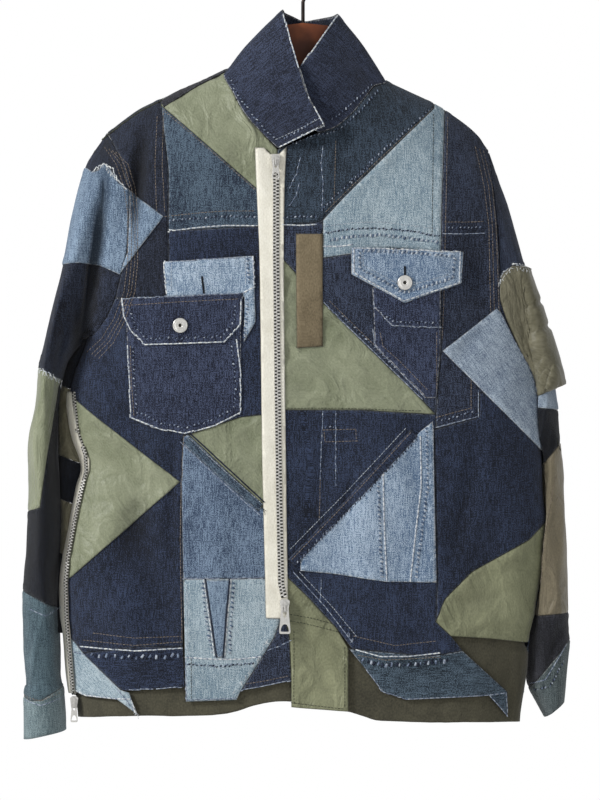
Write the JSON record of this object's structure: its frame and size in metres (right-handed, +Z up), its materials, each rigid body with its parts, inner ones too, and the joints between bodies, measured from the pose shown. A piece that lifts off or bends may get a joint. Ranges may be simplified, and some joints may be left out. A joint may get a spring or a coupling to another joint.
{
  "type": "patched denim jacket on a hanger",
  "caption": "Worn patchwork denim work jacket with chest pockets and a two-way front zip, hanging on a wooden hanger by its wire hook.",
  "frame": {"origin": "the point inside the hook that rests on the rod", "axes": "+Z up along the hook's stem; -Y is the jacket's front; -X is the wearer's right"},
  "size_m": [0.607, 0.165, 0.8676],
  "materials": {
    "indigo": "dark indigo denim, worn pale along its seams",
    "navy": "navy cotton twill, washed",
    "faded": "mid-blue denim, faded",
    "light": "light washed denim",
    "teal": "blue-green denim",
    "satin": "olive nylon satin, puckered at its seams",
    "olive": "olive-brown woven cotton",
    "webbing": "khaki webbing",
    "tan": "olive-tan nylon, creased",
    "ecru": "ecru woven zip tape",
    "metal": "silver-white, tumbled",
    "wood": "dark brown, lacquered",
    "wire": "dark steel wire"
  },
  "bodies": {
    "jacket": {"right_shoulder": "indigo", "right_yoke_satin": "satin", "right_chest": "faded", "right_front": "navy", "right_arm_patch": "light", "right_light_patch": "light", "right_pocket": "indigo", "right_pocket_flap": "indigo", "right_side_satin": "satin", "right_waist_satin": "satin", "right_waist": "faded", "right_hem_light": "light", "right_hem_dark": "indigo", "right_waistband": "navy", "right_corner": "light", "left_yoke": "indigo", "left_chest_light": "light", "left_side_upper": "indigo", "left_front_satin": "satin", "left_chest": "indigo", "left_pocket": "indigo", "left_under_flap": "indigo", "left_pocket_flap": "light", "webbing_strip": "webbing", "left_side_light": "light", "left_side": "navy", "left_hem_satin": "satin", "left_front": "navy", "left_lower_light": "light", "left_placket": "satin", "left_waistband": "faded", "front_zip_tape": "ecru", "side_zip_tape": "ecru", "back_yoke": "indigo", "back_panel": "navy", "back_waistband": "faded", "right_sleeve_upper": "navy", "right_sleeve_satin": "satin", "right_sleeve_navy": "navy", "right_sleeve_teal": "teal", "right_cuff": "teal", "left_sleeve_upper": "indigo", "left_sleeve_navy": "navy", "left_sleeve_tan": "tan", "left_sleeve_lower": "navy", "left_cuff": "teal", "right_sleeve_patch": "light", "left_sleeve_pocket": "olive", "hem_layer": "olive", "collar": "indigo", "right_button": "metal", "left_button": "metal", "front_top_slider": "metal", "front_bottom_slider": "metal", "side_slider": "metal", "hanger_body": "wood", "hanger_hook": "wire"},
    "front_top_pull": {"front_top_pull": "metal"},
    "front_bottom_pull": {"front_bottom_pull": "metal"},
    "side_pull": {"side_pull": "metal"}
  },
  "joints": [
    {"name": "front_top_pull_hinge", "type": "hinge", "parent": "jacket", "child": "front_top_pull", "pos_m": [-0.03, -0.05391, -0.224], "axis": [-1, 0, 0], "range_deg": [0, 150]},
    {"name": "front_bottom_pull_hinge", "type": "hinge", "parent": "jacket", "child": "front_bottom_pull", "pos_m": [-0.02, -0.059, -0.714], "axis": [-1, 0, 0], "range_deg": [0, 165]},
    {"name": "side_pull_hinge", "type": "hinge", "parent": "jacket", "child": "side_pull", "pos_m": [-0.253, -0.02268, -0.822], "axis": [-1, 0, 0], "range_deg": [0, 150]}
  ]
}
